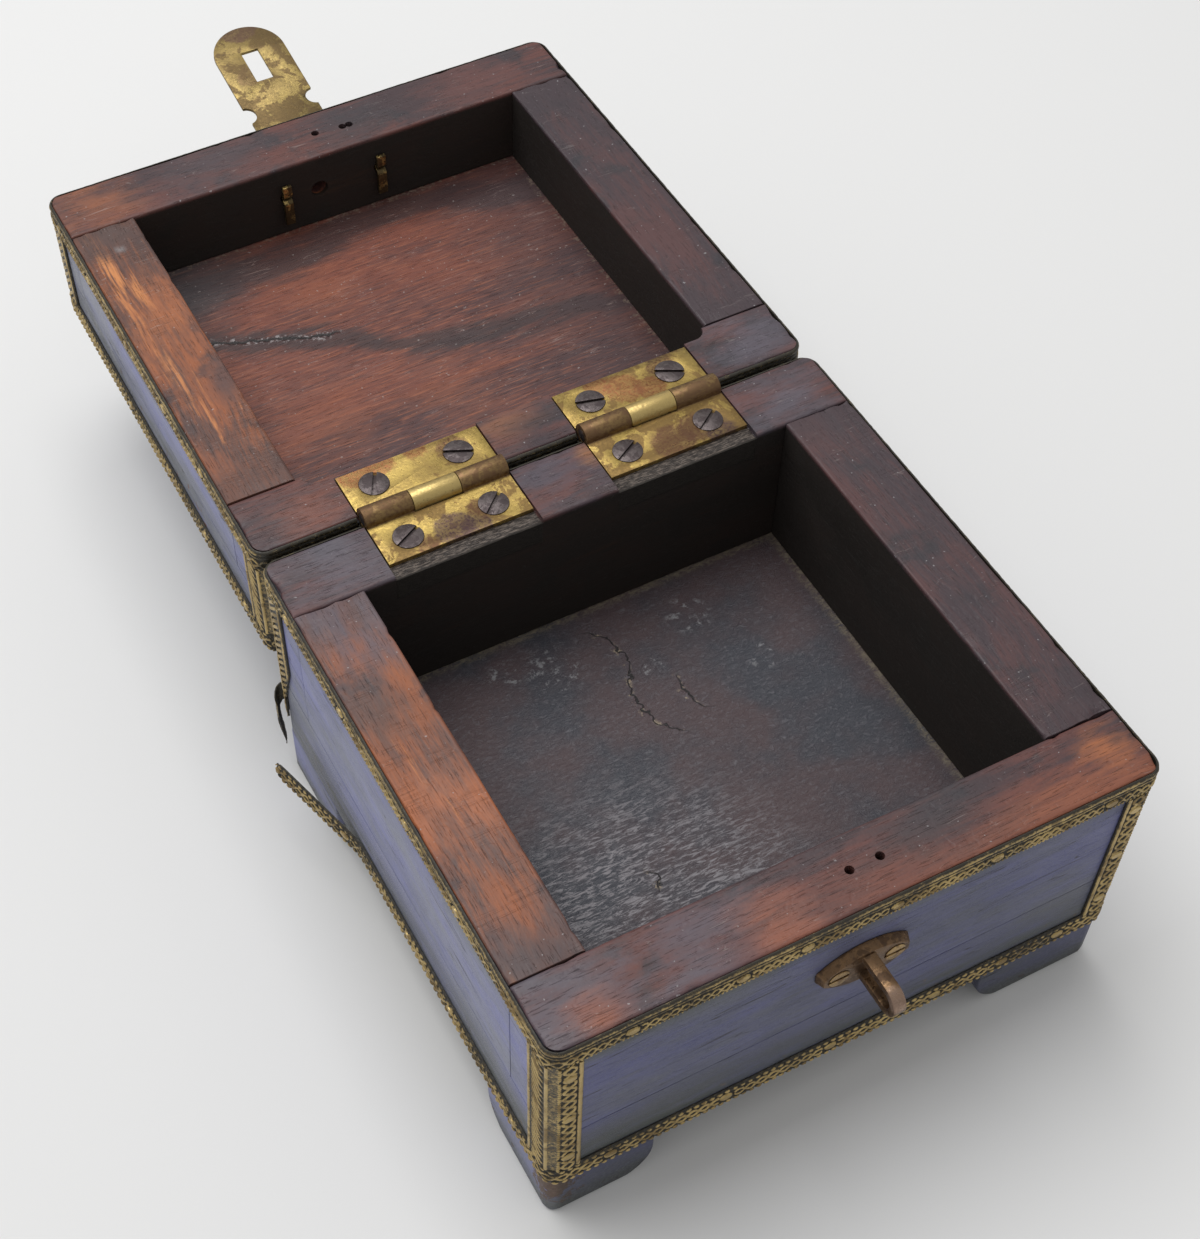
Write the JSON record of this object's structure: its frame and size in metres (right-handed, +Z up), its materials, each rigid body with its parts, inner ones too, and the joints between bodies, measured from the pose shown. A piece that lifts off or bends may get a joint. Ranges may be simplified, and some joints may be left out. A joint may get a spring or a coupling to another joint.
{
  "type": "hinged wooden box",
  "caption": "Small square wooden box on bracket feet, with a deep lid on two butt hinges, pressed brass edge strips, and a hasp that closes over a staple.",
  "frame": {"origin": "middle of the footprint of the open box, on the surface that the feet stand on", "axes": "+X to the right along the front edge, +Y from the front of the base towards the lid that is turned back, +Z up"},
  "size_m": [0.1604, 0.356, 0.0811],
  "materials": {
    "rail_wood_dark": "old hardwood, worn satin, painted outside",
    "rail_wood_warm": "old hardwood rubbed back to orange-brown, painted outside",
    "floor_wood": "nearly black hardwood with a dull crackled skin",
    "lid_panel_wood": "reddish hardwood with dark bands, worn satin",
    "painted_wood": "thin blue-violet paint over wood, rubbed",
    "edge_strip_brass": "pressed strip, dark with dull gold ridges",
    "hinge_brass": "yellow brass with brown tarnish",
    "hinge_pin_steel": "dull, stained",
    "screw_steel": "dark, worn",
    "staple_bronze": "brown bronze, bright where rubbed",
    "staple_screw_brass": "dull brass",
    "split_pin_brass": "dull brass",
    "hasp_brass": "olive gold with a browned tip"
  },
  "bodies": {
    "base": {"base_front_wall": "rail_wood_dark", "base_back_wall": "rail_wood_dark", "base_left_wall": "rail_wood_warm", "base_right_wall": "rail_wood_dark", "base_bottom_board": "floor_wood", "foot_front_left": "painted_wood", "foot_front_right": "painted_wood", "foot_back_left": "painted_wood", "foot_back_right": "painted_wood", "base_rim_band": "edge_strip_brass", "base_plinth_band": "edge_strip_brass", "base_corner_front_left": "edge_strip_brass", "base_corner_front_right": "edge_strip_brass", "base_corner_back_left": "edge_strip_brass", "base_corner_back_right": "edge_strip_brass", "hinge_base_leaf_left": "hinge_brass", "hinge_base_leaf_right": "hinge_brass", "hinge_pin_left": "hinge_pin_steel", "hinge_pin_right": "hinge_pin_steel", "base_hinge_screws": "screw_steel", "staple": "staple_bronze", "staple_screws": "staple_screw_brass"},
    "lid": {"lid_front_wall": "rail_wood_dark", "lid_back_wall": "rail_wood_dark", "lid_left_wall": "rail_wood_warm", "lid_right_wall": "rail_wood_dark", "lid_top_board": "lid_panel_wood", "lid_rim_band": "edge_strip_brass", "lid_board_band": "edge_strip_brass", "lid_corner_front_left": "edge_strip_brass", "lid_corner_front_right": "edge_strip_brass", "lid_corner_back_left": "edge_strip_brass", "lid_corner_back_right": "edge_strip_brass", "hinge_lid_leaf_left": "hinge_brass", "hinge_lid_leaf_right": "hinge_brass", "lid_hinge_screws": "screw_steel", "split_pin_left": "split_pin_brass", "split_pin_right": "split_pin_brass", "hasp_pin": "split_pin_brass"},
    "hasp": {"hasp_plate": "hasp_brass"}
  },
  "joints": [
    {"name": "lid_hinge", "type": "hinge", "parent": "base", "child": "lid", "pos_m": [0.00421, -0.01768, 0.07815], "axis": [1, 0, 0], "range_deg": [0, 180]},
    {"name": "hasp_hinge", "type": "hinge", "parent": "lid", "child": "hasp", "pos_m": [0.00501, 0.13037, 0.0676], "axis": [1, 0, 0], "range_deg": [-90, 80]}
  ]
}
